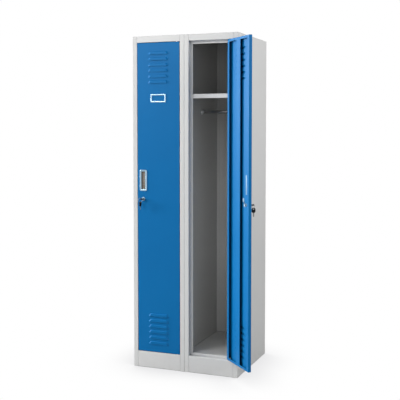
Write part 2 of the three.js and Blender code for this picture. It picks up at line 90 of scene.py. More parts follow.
class Finish:
    """A material whose nodes are added one by one. Its coordinates are the piece's own, in metres."""

    def __init__(self, name):
        self.material = bpy.data.materials.new(name)
        self.material.use_nodes = True
        self.nodes = self.material.node_tree.nodes
        self.links = self.material.node_tree.links
        self.shader = self.nodes["Principled BSDF"]
        self.place = self.add("ShaderNodeTexCoord").outputs["Object"]

    def add(self, kind, **settings):
        node = self.nodes.new(kind)
        for key, value in settings.items():
            setattr(node, key, value)
        return node

    def feed(self, socket, value):
        """Links a socket into this one, or sets it to a constant."""
        if isinstance(value, bpy.types.NodeSocket):
            self.links.new(value, socket)
        else:
            socket.default_value = value

    def noise(self, scale, detail=2.0, stretch=(1, 1, 1)):
        """A noise pattern with that many features in a metre."""
        mapping = self.add("ShaderNodeMapping")
        mapping.inputs["Scale"].default_value = stretch
        self.links.new(self.place, mapping.inputs["Vector"])
        node = self.add("ShaderNodeTexNoise")
        node.inputs["Scale"].default_value = scale
        node.inputs["Detail"].default_value = detail
        self.links.new(mapping.outputs["Vector"], node.inputs["Vector"])
        return node.outputs["Fac"]

    def ramp(self, value, low, high, start=0.0, end=1.0):
        """value mapped from low..high to start..end, and held there."""
        node = self.add("ShaderNodeMapRange", interpolation_type="SMOOTHSTEP")
        self.feed(node.inputs["Value"], value)
        for key, number in zip(("From Min", "From Max", "To Min", "To Max"), (low, high, start, end)):
            node.inputs[key].default_value = number
        return node.outputs["Result"]

    def calculate(self, operation, a, b):
        node = self.add("ShaderNodeMath", operation=operation)
        self.feed(node.inputs[0], a)
        self.feed(node.inputs[1], b)
        return node.outputs[0]

    def times(self, a, b):
        return self.calculate("MULTIPLY", a, b)

    def plus(self, a, b):
        return self.calculate("ADD", a, b)

    def mix(self, share, a, b):
        """Colour a turning into colour b as share goes from 0 to 1."""
        node = self.add("ShaderNodeMix", data_type="RGBA")
        self.feed(node.inputs["Factor"], share)
        for key, colour in (("A", a), ("B", b)):
            socket = next(s for s in node.inputs if s.name == key and s.type == "RGBA")
            self.feed(socket, colour if isinstance(colour, bpy.types.NodeSocket) else (*colour, 1.0))
        return next(s for s in node.outputs if s.type == "RGBA")

    def edges(self, radius):
        """1 along sharp outer edges, falling to 0 that far away from them."""
        bevel = self.add("ShaderNodeBevel", samples=4)
        bevel.inputs["Radius"].default_value = radius
        dot = self.add("ShaderNodeVectorMath", operation="DOT_PRODUCT")
        self.links.new(bevel.outputs["Normal"], dot.inputs[0])
        self.links.new(self.add("ShaderNodeNewGeometry").outputs["Normal"], dot.inputs[1])
        return self.ramp(dot.outputs["Value"], low=0.99, high=0.82)

    def shelter(self, reach, samples=8):
        """1 in the open, falling towards 0 where surfaces within reach close in."""
        node = self.add("ShaderNodeAmbientOcclusion", samples=samples)
        node.inputs["Distance"].default_value = reach
        return node.outputs["AO"]

    def height(self):
        split = self.add("ShaderNodeSeparateXYZ")
        self.links.new(self.place, split.inputs[0])
        return split.outputs["Z"]

    def bump(self, height, depth, strength, below=None):
        """The normal over a height pattern of that depth, added to the bump below it if there is one."""
        node = self.add("ShaderNodeBump")
        node.inputs["Strength"].default_value = strength
        node.inputs["Distance"].default_value = depth
        self.feed(node.inputs["Height"], height)
        if below is not None:
            self.links.new(below, node.inputs["Normal"])
        return node.outputs["Normal"]

    def finish(self, **sockets):
        """Feeds the shader's sockets. An underscore in a name stands for a space."""
        for name, value in sockets.items():
            self.feed(self.shader.inputs[name.replace("_", " ")], value)
        return self.material


LOW_SPECK_COLOUR = (0.42, 0.41, 0.39)
LOW_SPECKS_RISE = 90 * MM
SEAM_REACH = 6 * MM  # gaps narrower than this get a painted shadow
SEAM_SHADE = 0.1  # times the painted shade colour gives the painted seam shadow's colour
SHINE_VARIES = 0.08  # how much a pattern adds to the roughness of paint and metal
GRAIN_DULLS = 0.15  # and the grain to that of plastic
PLASTIC_GLOSS = 0.15
PLATING_DULLS = 0.6  # how far its clouds turn to the dull colour
PAINT_WORN_AND_HIGHLIT = 1.2 * MM  # width of the worn edges, lightened also as a painted highlight
PLASTIC_RUBBED = 0.6 * MM
ALONG_X = (0.05, 1, 1)  # stretches a pattern into lines
ALONG_Y = (1, 0.05, 1)


def powder_coat(name, colour, shade, worn_and_highlit, painted_shade, reach, roughness, gloss):
    """Baked paint: orange peel, clouds of colour, rubbed edges that also carry a painted highlight, dull grey
    specks low down, painted shade in recesses and painted shadow in seams.
    """
    paint = Finish(name)
    clouds = paint.noise(scale=3.1, detail=3.0)
    base = paint.mix(paint.ramp(clouds, low=0.3, high=0.7, end=0.5), colour, shade)
    streaks = paint.noise(scale=9.0, detail=4.0, stretch=(1, 1, 0.12))
    base = paint.mix(paint.ramp(streaks, low=0.45, high=0.75, end=0.15), base, shade)
    patchy = paint.ramp(paint.noise(scale=55.0, detail=5.0), low=0.4, high=0.62, start=0.5)
    # Edges lighter: rubbed paint, and also a painted highlight along the folds.
    base = paint.mix(paint.times(paint.edges(PAINT_WORN_AND_HIGHLIT), patchy), base, worn_and_highlit)
    # Dull grey specks, fading out over the bottom 90 mm.
    specks = paint.ramp(paint.noise(scale=26.0, detail=6.0), low=0.35, high=0.8)
    low_down = paint.ramp(paint.height(), low=LOW_SPECKS_RISE, high=0.0, end=0.16)
    base = paint.mix(paint.times(low_down, specks), base, LOW_SPECK_COLOUR)
    # Painted shade: darker where surfaces close in, inside the locker and in the door's gaps and inner corners.
    base = paint.mix(paint.ramp(paint.shelter(reach), low=0.4, high=0.15, end=0.95), base, painted_shade)
    # Painted shadow: near black in narrow gaps between parts.
    painted_seam_shadow = paint.ramp(paint.shelter(SEAM_REACH), low=0.75, high=0.3, end=0.9)
    base = paint.mix(painted_seam_shadow, base, [SEAM_SHADE * value for value in painted_shade])
    matt = paint.plus(roughness, paint.times(paint.noise(scale=24.0, detail=4.0), SHINE_VARIES))
    peel = paint.bump(paint.noise(scale=620.0), depth=0.06 * MM, strength=0.3)
    wavy = paint.bump(paint.noise(scale=4.0, detail=1.0), depth=0.9 * MM, strength=0.2, below=peel)
    return paint.finish(Base_Color=base, Roughness=matt, Normal=wavy, Specular_IOR_Level=gloss)


def plated(name, colour, dull, roughness, grain=(1, 1, 1)):
    """Bright plating: duller clouds in the shine, and hairline scratches that run with the grain."""
    metal = Finish(name)
    clouds = metal.ramp(metal.noise(scale=70.0, detail=4.0), low=0.35, high=0.7)
    hairs = metal.noise(scale=900.0, detail=3.0, stretch=grain)
    base = metal.mix(metal.times(clouds, PLATING_DULLS), colour, dull)
    matt = metal.plus(roughness, metal.times(clouds, SHINE_VARIES))
    matt = metal.plus(matt, metal.times(hairs, SHINE_VARIES))
    scratched = metal.bump(hairs, depth=0.02 * MM, strength=0.12)
    return metal.finish(Base_Color=base, Roughness=matt, Metallic=1.0, Normal=scratched)


def moulded(name, colour, light, roughness):
    """Moulded plastic: a fine grain, with corners rubbed lighter."""
    plastic = Finish(name)
    grain = plastic.noise(scale=1500.0)
    patchy = plastic.ramp(plastic.noise(scale=160.0, detail=3.0), low=0.35, high=0.65)
    base = plastic.mix(plastic.times(plastic.edges(PLASTIC_RUBBED), patchy), colour, light)
    matt = plastic.plus(roughness, plastic.times(grain, GRAIN_DULLS))
    rough = plastic.bump(grain, depth=0.03 * MM, strength=0.4)
    return plastic.finish(Base_Color=base, Roughness=matt, Normal=rough, Specular_IOR_Level=PLASTIC_GLOSS)


# In each paint below, the lighter edge colour is also a painted highlight, and the dark colour with its reach
# paints shade into recesses and shadow into seams.
FINISHES = {
    "body_paint": powder_coat(
        "body_paint",
        colour=(0.69, 0.69, 0.68),
        shade=(0.66, 0.66, 0.655),
        worn_and_highlit=(0.82, 0.82, 0.815),
        painted_shade=(0.43, 0.43, 0.42),
        reach=0.5,
        roughness=0.42,
        gloss=0.3,
    ),
    "door_paint": powder_coat(
        "door_paint",
        colour=(0.0, 0.15, 0.405),
        shade=(0.0, 0.134, 0.37),
        worn_and_highlit=(0.03, 0.3, 0.62),
        painted_shade=(0.0, 0.03, 0.09),
        reach=0.04,
        roughness=0.4,
        gloss=0.15,
    ),
    "chrome": plated("chrome", (0.38, 0.55, 0.68), dull=(0.32, 0.46, 0.57), roughness=0.24),
    "bright_steel": plated(
        "bright_steel", (0.86, 0.87, 0.88), dull=(0.7, 0.71, 0.72), roughness=0.18, grain=ALONG_X
    ),
    "white_nylon": moulded(
        "white_nylon", (0.52, 0.51, 0.48), light=(0.66, 0.65, 0.61), roughness=0.45
    ),
    "key_black": moulded("key_black", (0.004, 0.004, 0.005), light=(0.02, 0.02, 0.022), roughness=0.6),
}
ROD_FINISH = plated("rod_chrome", (0.42, 0.42, 0.42), dull=(0.3, 0.3, 0.3), roughness=0.12, grain=ALONG_X)
RING_FINISH = plated("split_ring", (0.3, 0.31, 0.33), dull=(0.2, 0.2, 0.21), roughness=0.4)
BLADE_FINISH = plated(
    "key_blade", (0.3, 0.3, 0.29), dull=(0.16, 0.16, 0.155), roughness=0.3, grain=ALONG_Y
)
CUP_FINISH = plated("handle_cup", (0.27, 0.25, 0.23), dull=(0.16, 0.13, 0.1), roughness=0.45)
SLOT_OF = {row["node"]: row["material_slot"] for row in frame["record"]["subparts"]}

# ---- Shapes: each is a list of points and a list of faces ----


def joined(*shapes):
    """Several shapes as one."""
    points, faces = [], []
    for more_points, more_faces in shapes:
        first = len(points)
        points += more_points
        faces += [[first + corner for corner in face] for face in more_faces]
    return points, faces


def folded(path, side, thickness=SHEET, bend=BEND):
    """Pairs of points across a folded sheet, from one end of its path to the other.

    The path follows one face from fold to fold. The metal lies on its left if side is 1, and on its
    right if side is -1."""
    corners = [Vector(point) for point in path]

    def across(point, direction):
        left = Vector((-direction.y, direction.x)).normalized()
        return point, point + left * side * thickness

    pairs = [across(corners[0], corners[1] - corners[0])]
    for before, corner, after in zip(corners, corners[1:], corners[2:]):
        coming, going = (corner - before).normalized(), (after - corner).normalized()
        turn = math.atan2(coming.cross(going), coming.dot(going))
        way = math.copysign(1, turn)
        radius = bend if way == side else bend - thickness
        left = Vector((-coming.y, coming.x))
        centre = corner - coming * radius * math.tan(abs(turn) / 2) + left * way * radius
        for step in range(BEND_STEPS + 1):
            spoke = Matrix.Rotation(turn * step / BEND_STEPS, 2) @ left
            point = centre - spoke * way * radius
            pairs.append((point, point + spoke * side * thickness))
    pairs.append(across(corners[-1], corners[-1] - corners[-2]))
    return pairs


def upright(a, b, along):
    """Where a section drawn in X and Y goes when it is drawn out along Z."""
    return a, b, along


def sideways(a, b, along):
    """Where a section drawn in Y and Z goes when it is drawn out along X."""
    return along, a, b


def drawn_out(pairs, start, end, way):
    """A folded sheet as a solid. way puts a point of the section and a distance along it into X, Y, Z.

    start and end are distances, or functions of the point of the path."""
    count = len(pairs)
    points = []
    for limit in (start, end):
        for row in (0, 1):
            for pair in pairs:
                along = limit(pair[0]) if callable(limit) else limit
                points.append(way(*pair[row], along))
    faces = []
    for i in range(count - 1):
        outer, inner, far_outer, far_inner = i, i + count, i + 2 * count, i + 3 * count
        faces.append([outer, outer + 1, far_outer + 1, far_outer])
        faces.append([inner, far_inner, far_inner + 1, inner + 1])
        faces.append([outer, inner, inner + 1, outer + 1])
        faces.append([far_outer, far_outer + 1, far_inner + 1, far_inner])
    for i in (0, count - 1):
        faces.append([i, i + 2 * count, i + 3 * count, i + count])
    return points, faces


def upright_sheet(path, side, bottom, top):
    return drawn_out(folded(path, side), bottom, top, upright)


def sideways_sheet(path, side, left, right, bend=BEND):
    return drawn_out(folded(path, side, bend=bend), left, right, sideways)


def lofted(loops, ring=False):
    """Loops of points joined one to the next. A ring joins the last to the first; others are capped."""
    count = len(loops[0])
    points = [point for loop in loops for point in loop]
    faces = []
    for level in range(len(loops) if ring else len(loops) - 1):
        near, far = level * count, (level + 1) % len(loops) * count
        for i in range(count):
            after = (i + 1) % count
            faces.append([near + i, near + after, far + after, far + i])
    if not ring:
        faces.append(list(range(count)))
        faces.append([len(points) - count + i for i in range(count)])
    return points, faces


def rounded(radius, inset, end, steps=BEND_STEPS):
    """A quarter round as pairs of inset and distance, which ends at (inset + radius, end)."""
    turns = [math.pi / 2 * step / steps for step in range(steps + 1)]
    return [(inset + radius * (1 - math.cos(a)), end - radius * (1 - math.sin(a))) for a in turns]


def round_loop(radius, along, centre=(0, 0)):
    """A circle in X and Z, that far along Y."""
    angles = [2 * math.pi * (i + 0.5) / ROUND for i in range(ROUND)]
    return [(centre[0] + radius * math.cos(a), along, centre[1] + radius * math.sin(a)) for a in angles]


def rectangle_loop(wide, tall, corner, along, centre=(0, 0)):
    """A rounded rectangle with as many points as a round loop, the same number in each corner."""
    points = []
    for i in range(ROUND):
        angle = 2 * math.pi * (i + 0.5) / ROUND
        across, up = math.cos(angle), math.sin(angle)
        x = centre[0] + math.copysign(wide / 2 - corner, across) + corner * across
        z = centre[1] + math.copysign(tall / 2 - corner, up) + corner * up
        points.append((x, along, z))
    return points


def turned(profile, ring=True, flats=None):
    """A piece turned about Y, from pairs of radius and distance. flats cuts it to a hexagon that wide."""
    loops = []
    for radius, along in profile:
        loop = []
        for x, y, z in round_loop(1, along):
            reach = radius
            if flats:
                from_flat = math.atan2(z, x) % (math.pi / 3) - math.pi / 6
                reach = min(radius, flats / 2 / math.cos(from_flat))
            loop.append((x * reach, y, z * reach))
        loops.append(loop)
    return lofted(loops, ring)


def outlined(outline, low, high):
    """An outline in X and Y with a thickness in Z."""
    return lofted([[(x, y, z) for x, y in outline] for z in (low, high)])


# ---- Pieces ----


def add_piece(name, shape, stands_for, place=Matrix(), slot=None, thickness=None, finish=None):
    """Makes a piece that stands for a CAD node, in its finish and on its body."""
    points, faces = shape
    slot = slot or SLOT_OF[stands_for]
    mesh = bpy.data.meshes.new(name)
    mesh.from_pydata([place @ Vector(point) for point in points], [], faces)
    mesh.materials.append(finish or FINISHES[slot])
    piece = bpy.data.objects.new(name, mesh)
    bpy.context.scene.collection.objects.link(piece)
    if thickness:
        thicken(piece, thickness)
    else:
        face_outwards(mesh)
    piece.data.shade_smooth()
    piece.data.set_sharp_from_angle(angle=SHARP)
    level = piece.modifiers.new("flat_faces_stay_flat", "WEIGHTED_NORMAL")
    level.keep_sharp = True
    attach(piece, BODY_OF[stands_for])
    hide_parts(stands_for)


def face_outwards(mesh):
    work = bmesh.new()
    work.from_mesh(mesh)
    bmesh.ops.recalc_face_normals(work, faces=work.faces)
    work.to_mesh(mesh)
    work.free()


def thicken(piece, thickness):
    """Gives a surface a thickness behind its faces, and keeps the result as the piece's mesh."""
    solidify = piece.modifiers.new("thickness", "SOLIDIFY")
    solidify.thickness = thickness
    solidify.offset = -1
    solidify.use_even_offset = True
    solidify.use_quality_normals = True
    seen = piece.evaluated_get(bpy.context.evaluated_depsgraph_get())
    mesh = bpy.data.meshes.new_from_object(seen)
    piece.modifiers.clear()
    piece.data = mesh


# ---- Carcass ----

PANEL_LOW, PANEL_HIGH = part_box("right_side_panel")
OUTSIDE, CARCASS_TOP = PANEL_HIGH.x, PANEL_HIGH.z
FRONT, BACK = PANEL_LOW.y, PANEL_HIGH.y
STOP_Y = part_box("right_floor_panel")[0].y
SEAM = GAP / 2
INSIDE_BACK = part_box("centre_partition")[1].y


def stile_path(inner, outer):
    """From the stop flange, round the pocket that the door closes into, to the stile's outer edge."""
    inwards = math.copysign(STOP, inner - outer)
    return [(inner + inwards, STOP_Y), (inner, STOP_Y), (inner, FRONT), (outer, FRONT)]


def mirrored(path):
    return [(-x, y) for x, y in path]


def make_side_panels():
    path = stile_path(OUTSIDE - STILE, OUTSIDE) + [(OUTSIDE, BACK), (OUTSIDE - BACK_FLANGE, BACK)]
    add_piece("right_side_sheet", upright_sheet(path, 1, 0, CARCASS_TOP), "right_side_panel")
    add_piece("left_side_sheet", upright_sheet(mirrored(path), -1, 0, CARCASS_TOP), "left_side_panel")


def make_centre_post():
    wall = stile_path(STILE, SEAM) + [(SEAM, INSIDE_BACK), (SEAM + FOLD, INSIDE_BACK)]
    foot_front = STOP_Y + 2 * STOP
    foot = sideways_sheet([(foot_front, 0), (INSIDE_BACK, 0)], 1, -FOLD, SEAM)
    sheet = joined(upright_sheet(wall, -1, 0, CARCASS_TOP), foot)
    add_piece("centre_partition_sheet", sheet, "centre_partition")
    stile = stile_path(STILE, SEAM) + [(SEAM, STOP_Y + STOP)]
    add_piece("centre_stile_sheet", upright_sheet(mirrored(stile), 1, 0, CARCASS_TOP), "centre_stile")


def make_top_rail(side):
    low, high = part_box(f"{side}_top_rail")
    under = low.z + STOP
    split = STOP_Y - SPLIT
    rail = sideways_sheet([(FRONT, high.z), (FRONT, under), (split, under)], 1, low.x, high.x)
    path = [(split, under), (STOP_Y, under), (STOP_Y, low.z)]
    stop = sideways_sheet(path, 1, low.x + STOP, high.x - STOP)
    add_piece(f"{side}_top_rail_sheet", joined(rail, stop), f"{side}_top_rail")


def make_plinth(side):
    low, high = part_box(f"{side}_plinth")
    path = [(FRONT + FOLD, low.z), (FRONT, low.z), (FRONT, high.z), (high.y, high.z)]
    sheet = sideways_sheet(path, -1, low.x, high.x, PLINTH_BEND)
    add_piece(f"{side}_plinth_sheet", sheet, f"{side}_plinth")


def side_flanges(left, right, front, back, top):
    """The folds down each side of a floor or a shelf, under its sheet."""
    path = [(front, top - SHEET), (back, top - SHEET)]
    deep = FOLD - SHEET
    return joined(
        drawn_out(folded(path, -1, deep), left, left + SHEET, sideways),
        drawn_out(folded(path, -1, deep), right - SHEET, right, sideways),
    )


def make_floor_panel(side):
    low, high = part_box(f"{side}_floor_panel")
    split = STOP_Y + SPLIT
    back_fold = high.z - FOLD
    sheet = sideways_sheet([(split, high.z), (high.y, high.z), (high.y, back_fold)], -1, low.x, high.x)
    plinth_low, plinth_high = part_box(f"{side}_plinth")
    path = [(STOP_Y, low.z), (STOP_Y, high.z), (split, high.z)]
    lip = sideways_sheet(path, -1, plinth_low.x + STOP, plinth_high.x - STOP)
    flanges = side_flanges(low.x, high.x, STOP_Y + STOP, high.y - FOLD, high.z)
    add_piece(f"{side}_floor_sheet", joined(sheet, lip, flanges), f"{side}_floor_panel")


def make_shelf(side):
    low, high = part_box(f"{side}_shelf")
    left, right, front, back, top = low.x, high.x, low.y, high.y, high.z
    if side == "left":
        right -= SHEET + 2 * GAP  # clear of the centre stile, which lies along the partition
    bottom = top - SHELF_LIP
    path = [(front + FOLD, bottom), (front, bottom), (front, top), (back, top), (back, top - FOLD)]
    flanges = side_flanges(left, right, front + SHEET, back - FOLD, top)
    sheet = joined(sideways_sheet(path, -1, left, right), flanges)
    add_piece(f"{side}_shelf_sheet", sheet, f"{side}_shelf")


ROD_WALL = 1.2 * MM
ROD_SOFT = ROD_WALL / 3  # bevel round the ends of the rods and their sockets
SOCKET_PLATE = 2 * MM
SOCKET_EDGE = 0.4 * SOCKET_PLATE
SOCKET_COLLAR = 10.5 * MM
SOCKET_FILLET = 1.2 * MM  # between plate and collar


def along_x(x, centre, facing=1):
    """Places a piece turned about Y so that it points along X, or against it if facing is -1."""
    turn = Matrix.Rotation(-facing * math.pi / 2, 4, "Z")
    return Matrix.Translation((x, centre.y, centre.z)) @ turn


def make_rod_socket(node, facing, centre, bore):
    """A plate with a collar round the rod's end. facing is 1 if it points to the right, -1 to the left."""
    low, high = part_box(node)
    plate, long = (high.z - low.z) / 2, high.x - low.x
    profile = [(plate, 0), (plate, SOCKET_PLATE - SOCKET_EDGE), (plate - SOCKET_EDGE, SOCKET_PLATE)]
    profile += [(SOCKET_COLLAR + SOCKET_FILLET, SOCKET_PLATE)]
    profile += [(SOCKET_COLLAR, SOCKET_PLATE + SOCKET_FILLET), (SOCKET_COLLAR, long - ROD_SOFT)]
    profile += [(SOCKET_COLLAR - ROD_SOFT, long), (bore, long), (bore, SOCKET_PLATE)]
    place = along_x(low.x if facing > 0 else high.x, centre, facing)
    add_piece(f"{node}_cup", turned(profile, ring=False), node, place)


def make_hanging_rod(side):
    low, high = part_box(f"{side}_hanging_rod")
    centre = (low + high) / 2
    radius, length = (high.z - low.z) / 2, high.x - low.x
    bore, soft = radius - ROD_WALL, radius - ROD_SOFT
    profile = [(bore, 0), (soft, 0), (radius, ROD_SOFT)]
    profile += [(radius, length - ROD_SOFT), (soft, length), (bore, length)]
    place = along_x(low.x, centre)
    add_piece(f"{side}_rod_tube", turned(profile), f"{side}_hanging_rod", place, finish=ROD_FINISH)
    make_rod_socket(f"{side}_rod_socket_left", 1, centre, radius + GAP)
    make_rod_socket(f"{side}_rod_socket_right", -1, centre, radius + GAP)


def make_carcass():
    make_side_panels()
    make_centre_post()
    for side in SIDES:
        make_top_rail(side)
        make_plinth(side)
        make_floor_panel(side)
        make_shelf(side)
        make_hanging_rod(side)


# ---- Doors, drawn shut about their own hinge axis ----

PIVOT = Vector(JOINTS["left_door_hinge"]["pos_m"])


def shut_box(part):
    """The box of a piece of a shut door, in the door's own frame. It is taken from the left door."""
    low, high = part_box(f"left_{part}")
    return low - PIVOT, high - PIVOT


def door_place(side):
    hinge = JOINTS[f"{side}_door_hinge"]
    opened = math.radians(-hinge["range_deg"][0])
    return Matrix.Translation(hinge["pos_m"]) @ Matrix.Rotation(opened, 4, "Z")


def half_wide(part):
    low, high = shut_box(part)
    return (high.x - low.x) / 2


PAN_LOW, PAN_HIGH = shut_box("door_panel")
FACE = FRONT - PIVOT.y
REAR = PAN_HIGH.y
LOUVRE_SHARE = 0.8  # of how far a louvre stands out in CAD
PROUD = LOUVRE_SHARE * (FACE - PAN_LOW.y)
MIDDLE = (PAN_LOW.x + PAN_HIGH.x) / 2
LOCK = Vector(JOINTS["left_lock_turn"]["pos_m"]) - PIVOT
HANDLE_LOW, HANDLE_HIGH = shut_box("handle")
HANDLE_X, HANDLE_Z = LOCK.x, (HANDLE_LOW.z + HANDLE_HIGH.z) / 2
CUP_WIDE = 26 * MM
CUP_TALL = 99 * MM
CUP_WALL = 1.5 * MM
CUP_CORNER = 4 * MM
CUP_ROUND = 2 * MM  # where its walls meet its bottom
BEZEL_CORNER = 6 * MM
BEZEL_SOFT = 0.7 * MM
LABEL_RIM = 7.2 * MM
LABEL_CORNER = 2.5 * MM
LABEL_SOFT = 0.8 * MM
LEAST_CORNER = 0.6 * MM
BARREL = 8 * MM  # radius of the lock's threaded part


def gentle(share):
    """A rise from 0 to 1 that starts and ends level."""
    return (1 - math.cos(math.pi * min(max(share, 0), 1))) / 2


def louvre_rows(mouth):
    """Rows of height, the louvre's half width, and how far it stands out just below and above."""
    rows = [(mouth, LOUVRE_HALF, 0, 1)]
    for step in range(RISE_STEPS + 1):
        up = LOUVRE_TALL - CREASE + CREASE * step / RISE_STEPS
        out = 1 - gentle(step / RISE_STEPS)
        rows.append((mouth + up, LOUVRE_HALF - LOUVRE_NARROWS * up / LOUVRE_TALL, out, out))
    return rows


def face_rows(bottom, top, hole, ring):
    """All rows of a door's face: its edges, the louvres, the handle's hole and the ring round the lock."""
    rows = [(bottom, LOUVRE_HALF, 0, 0), (top, LOUVRE_HALF, 0, 0)]
    for i in range(LOUVRES):
        rows += louvre_rows(TOP_LOUVRE_MOUTH - i * LOUVRE_PITCH)
        rows += louvre_rows(LOW_LOUVRE_MOUTH + i * LOUVRE_PITCH)
    levels = [HANDLE_Z - hole / 2, HANDLE_Z + hole / 2] + [LOCK.z + step for step in ring]
    return sorted(rows + [(level, LOUVRE_HALF, 0, 0) for level in levels])


def face_columns(left, right, ring):
    """Each column's place across the door, and its share of a louvre's half width or None."""
    ends = [1 - LOUVRE_END / LOUVRE_HALF * step / RISE_STEPS for step in range(RISE_STEPS + 1)]
    columns = [(left, None), (right, None)] + [(LOCK.x + step, None) for step in ring]
    columns += [(MIDDLE + share * LOUVRE_HALF, share) for share in [-share for share in ends] + ends]
    return sorted(columns, key=lambda column: column[0])


def door_face(left, right, bottom, top):
    """The front of a door: a sheet with its louvres torn along their mouths and holes for handle and lock.

    Returns the points, the faces, and the point numbers round its border."""
    hole_wide, hole_tall = CUP_WIDE + 2 * GAP, CUP_TALL + 2 * GAP
    round_lock = [BARREL * share for share in (-1, -0.5, 0, 0.5, 1)]
    ring = [-hole_wide / 2, *round_lock, hole_wide / 2]
    rows = face_rows(bottom, top, hole_tall, ring)
    columns = face_columns(left, right, ring)
    points, numbers = [], {}

    def number(point):
        """The point's number, which points that lie together share."""
        key = tuple(round(value / MM, 4) for value in point)
        if key not in numbers:
            numbers[key] = len(points)
            points.append(point)
        return numbers[key]

    def point_at(row, column, above):
        """The point where a row crosses a column, for the faces above the row or for those below it."""
        height, half, below_out, above_out = row
        across, share = column
        out = 0
        if share is not None:
            across = MIDDLE + share * half
            rise = gentle((1 - abs(share)) * LOUVRE_HALF / LOUVRE_END)
            out = rise * (above_out if above else below_out)
            if above_out != below_out:
                height -= LOUVRE_HOOD * out
        dx, dz = across - LOCK.x, height - LOCK.z
        if abs(max(abs(dx), abs(dz)) - BARREL) < GAP / 2:  # on the square round the lock, made round
            stretch = (BARREL + GAP) / math.hypot(dx, dz)
            across, height = LOCK.x + dx * stretch, LOCK.z + dz * stretch
        return number((across, FACE - PROUD * out, height))

    def is_hole(x, z):
        in_lock = max(abs(x - LOCK.x), abs(z - LOCK.z)) < BARREL
        return in_lock or (abs(x - HANDLE_X) < hole_wide / 2 and abs(z - HANDLE_Z) < hole_tall / 2)

    faces = []
    for low, high in zip(rows, rows[1:]):
        for near, far in zip(columns, columns[1:]):
            if not is_hole((near[0] + far[0]) / 2, (low[0] + high[0]) / 2):
                bottom_edge = [point_at(low, near, True), point_at(low, far, True)]
                faces.append(bottom_edge + [point_at(high, far, False), point_at(high, near, False)])
    border = [point_at(rows[0], column, True) for column in columns]
    border += [point_at(row, columns[-1], True) for row in rows[1:]]
    border += [point_at(rows[-1], column, True) for column in reversed(columns[:-1])]
    border += [point_at(row, columns[0], True) for row in reversed(rows[1:-1])]
    return points, faces, border


def drawn_in(value, low, high, inset):
    """A border point's place on a rim that much further in than the pan's outside."""
    near = 1.5 * BEND  # the border itself is one BEND in
    if value < low + near:
        return low + inset
    if value > high - near:
        return high - inset
    return value


def door_pan():
    """A pan folded from one sheet: its face, its rounded edges and the lips behind."""
    left, right, bottom, top = PAN_LOW.x, PAN_HIGH.x, PAN_LOW.z, PAN_HIGH.z
    points, faces, border = door_face(left + BEND, right - BEND, bottom + BEND, top - BEND)
    front_fold = [(inset, FACE - behind) for inset, behind in reversed(rounded(BEND, 0, 0))]
    folds = front_fold[1:] + rounded(BEND, 0, REAR)
    rims = [(inset, inset, y) for inset, y in folds] + [(DOOR_LIP, DOOR_END_LIP, REAR)]
    previous = border
    for side_inset, end_inset, y in rims:
        loop = list(range(len(points), len(points) + len(border)))
        for corner in border:
            x, _, z = points[corner]
            points.append((drawn_in(x, left, right, side_inset), y, drawn_in(z, bottom, top, end_inset)))
        faces += [[loop[i - 1], loop[i], previous[i], previous[i - 1]] for i in range(len(border))]
        previous = loop
    return points, faces


STIFFENER_FOOT = 17 * MM
STIFFENER_LIP = 3 * MM


def stiffener():
    """A channel down the middle of the door's inside, open towards the free edge."""
    low, high = shut_box("door_stiffener")
    web = high.x
    path = [(web - STIFFENER_FOOT, low.y), (web, low.y), (web, high.y)]
    path += [(low.x, high.y), (low.x, high.y - STIFFENER_LIP)]
    return upright_sheet(path, 1, low.z, high.z)


def framed(low, high, corner, profile):
    """A closed frame from pairs of inset and distance. The insets are in from the box's sides and ends."""
    centre = ((low.x + high.x) / 2, (low.z + high.z) / 2)
    loops = []
    for inset, y in profile:
        wide, tall = high.x - low.x - 2 * inset, high.z - low.z - 2 * inset
        loops.append(rectangle_loop(wide, tall, max(corner - inset, LEAST_CORNER), y, centre))
    return loops


def rim_profile(rim, front, back, soft, outer, inner):
    """A frame's section. outer and inner step from its sides and from its front, in units of soft."""
    profile = [(0, back)] + [(step * soft, front + behind * soft) for step, behind in outer]
    return profile + [(rim - step * soft, front + behind * soft) for step, behind in inner] + [(rim, back)]


def label_holder():
    """A rim with a raised, rounded section round the card's window."""
    low, high = shut_box("label_holder")
    outer, inner = [(0, 2), (0.3, 0.6), (1.6, 0)], [(2, 0.2), (0.6, 0.8), (0, 2)]
    profile = rim_profile(LABEL_RIM, low.y, high.y, LABEL_SOFT, outer, inner)
    return lofted(framed(low, high, LABEL_CORNER, profile), ring=True)


def handle_bezel():
    rim = (HANDLE_HIGH.x - HANDLE_LOW.x - CUP_WIDE) / 2 + CUP_WALL
    outer, inner = [(0, 1.6), (0.4, 0.6), (1.4, 0)], [(2, 0.4), (0.6, 1.2), (0, 2.6)]
    profile = rim_profile(rim, HANDLE_LOW.y, FACE - GAP, BEZEL_SOFT, outer, inner)
    return lofted(framed(HANDLE_LOW, HANDLE_HIGH, BEZEL_CORNER, profile), ring=True)


def handle_cup(inset, wall):
    """A shell with a rounded bottom, that much inside the recess behind the bezel."""
    half = Vector((CUP_WIDE / 2 - inset, 0, CUP_TALL / 2 - inset))
    middle = Vector((HANDLE_X, 0, HANDLE_Z))
    back = HANDLE_HIGH.y - inset
    outside, inside = rounded(CUP_ROUND, 0, back), rounded(CUP_ROUND, wall, back - wall)
    profile = outside[::-1] + [(0, FACE), (wall, FACE)] + inside
    return lofted(framed(middle - half, middle + half, CUP_CORNER, profile))


# ---- Lock and keys: the lock's pieces are drawn about its axis, which runs inwards along Y ----

